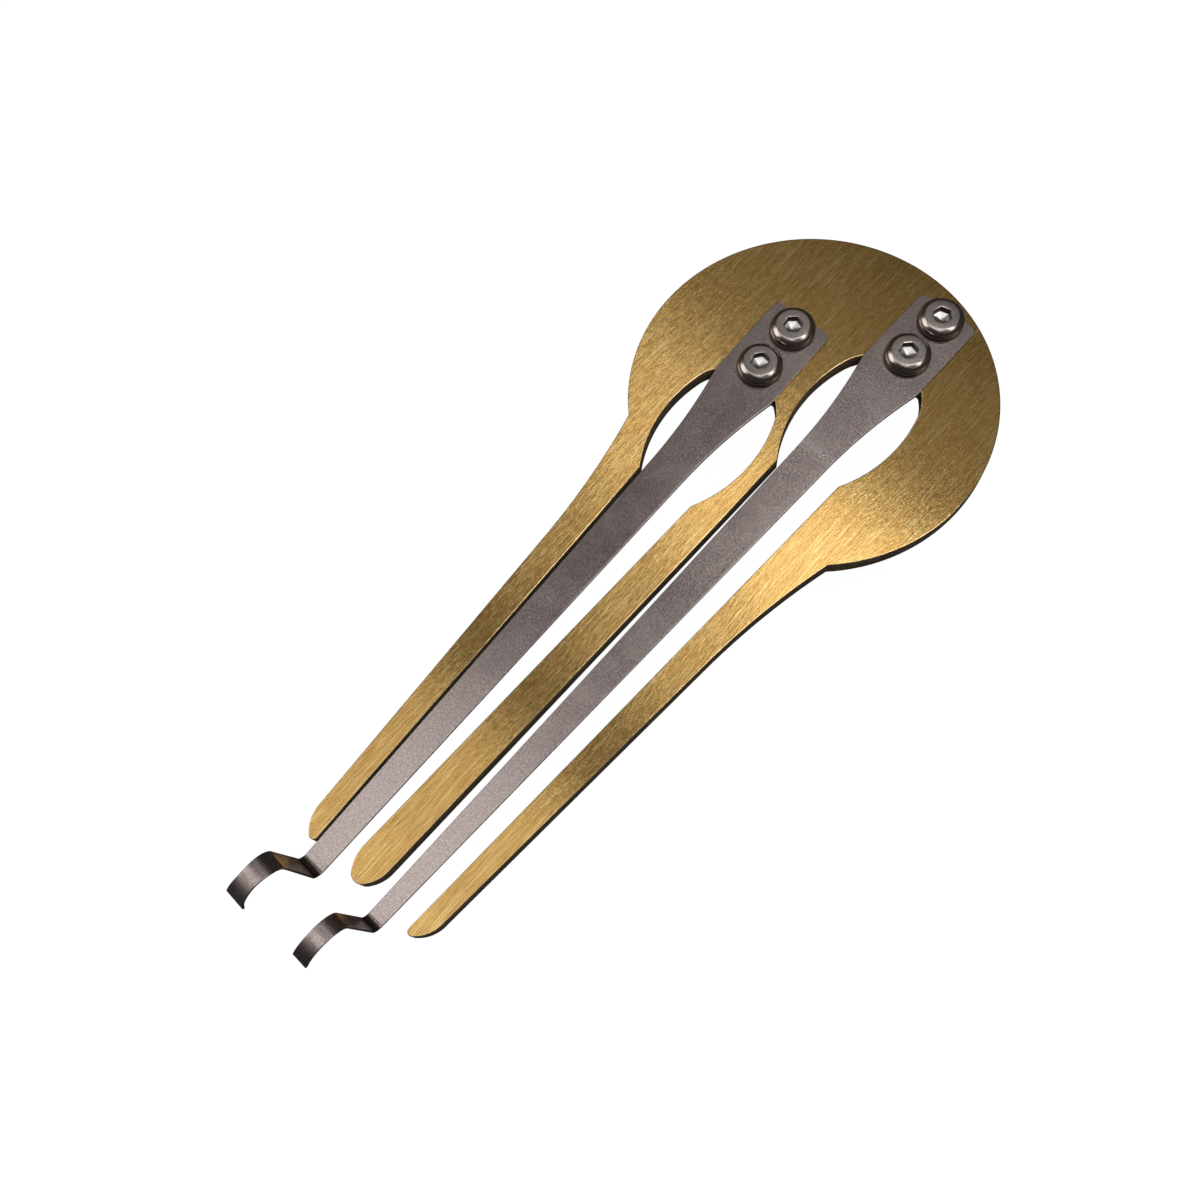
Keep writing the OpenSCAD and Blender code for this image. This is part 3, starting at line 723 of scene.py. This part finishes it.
stageStyle = {
    "floorDrop": 9.0,
    "floorSize": 4000.0,
    "floorTint": 0.1,
    "glow": 0.98,  # the brightness of floor and backdrop to the camera
    "dull": 0.09,  # the floor's to everything else
    "world": rgba(0.03, 0.029, 0.028),
    # level lights: centre x, y, z, size x, y, radiance
    "panels": {
        "ceiling": (0, 250, 1600, 4200, 2400, 0.107),
        "overTines": (-30, -205, 1000, 900, 500, 1.05),
        "overHead": (615, 225, 1000, 1200, 150, 2.1),
        "overHeadMiddle": (460, 379, 1000, 1200, 158, 3.3),
        "overHeadFar": (250, 566, 1000, 1500, 208, 0.15),
    },
    # the same for lights that are turned to the middle of the object
    "sides": {
        "fromLeft": (-680, -430, 560, 600, 600, 1.6),
    },
}


# A pale floor, which throws only a little light back at the object
def makeFloor(style):
    material = bpy.data.materials.new("paleFloor")
    material.use_nodes = True
    tree = material.node_tree
    shader = tree.nodes["Principled BSDF"]
    shader.inputs["Roughness"].default_value = 1
    shader.inputs["Specular IOR Level"].default_value = 0
    shader.inputs["Emission Color"].default_value = grey(1)
    ray = addNode(tree, "ShaderNodeLightPath").outputs["Is Camera Ray"]
    connect(tree, shader, Base_Color=mixColour(tree, ray, grey(style["dull"]), grey(style["floorTint"])),
            Emission_Strength=combine(tree, "MULTIPLY", ray, style["glow"]))
    half, level = style["floorSize"] / 2, -style["floorDrop"]
    corners = np.array([[-half, -half, level], [half, -half, level], [half, half, level], [-half, half, level]])
    floor = makePiece("floor", corners, [([(0, 1, 2, 3)], 0, False)], [material])
    if floor.data.polygons[0].normal.z < 0:
        floor.data.flip_normals()


# A rectangular light of a given radiance: its power is pi times area times radiance
def makePanel(name, x, y, z, width, depth, radiance, aim=None):
    lamp = bpy.data.lights.new(name, "AREA")
    lamp.shape = "RECTANGLE"
    lamp.size, lamp.size_y = width * mm, depth * mm
    lamp.energy = math.pi * width * depth * mm * mm * radiance
    panel = bpy.data.objects.new(name, lamp)
    panel.location = (x * mm, y * mm, z * mm)
    if aim is not None:
        panel.rotation_euler = (Vector(aim) * mm - panel.location).to_track_quat("-Z", "Y").to_euler()
    bpy.context.scene.collection.objects.link(panel)


makeFloor(stageStyle)
for name, values in stageStyle["panels"].items():
    makePanel(name, *values)
for name, values in stageStyle["sides"].items():
    makePanel(name, *values, aim=(0, 0, 0))

world = bpy.data.worlds.new("studio")
world.use_nodes = True
sky = world.node_tree
ray = addNode(sky, "ShaderNodeLightPath").outputs["Is Camera Ray"]
backdrop = mixColour(sky, ray, stageStyle["world"], grey(stageStyle["glow"]))
connect(sky, sky.nodes["Background"], Color=backdrop)
bpy.context.scene.world = world
bpy.context.scene.view_settings.view_transform = "Standard"

cameraStyle = {"place": (35.914, -31.907, 130.674), "turn": (19.5177, 4.3767, 41.8627), "lens": 36, "sensor": 36,
               "clip": (5, 20000)}
camera = bpy.data.objects.new("camera", bpy.data.cameras.new("camera"))
camera.data.lens = cameraStyle["lens"]
camera.data.sensor_width = cameraStyle["sensor"]
camera.data.clip_start, camera.data.clip_end = (v * mm for v in cameraStyle["clip"])
camera.location = [v * mm for v in cameraStyle["place"]]
camera.rotation_euler = Euler([math.radians(v) for v in cameraStyle["turn"]], "XYZ")
bpy.context.scene.collection.objects.link(camera)
bpy.context.scene.camera = camera
print("studio made")
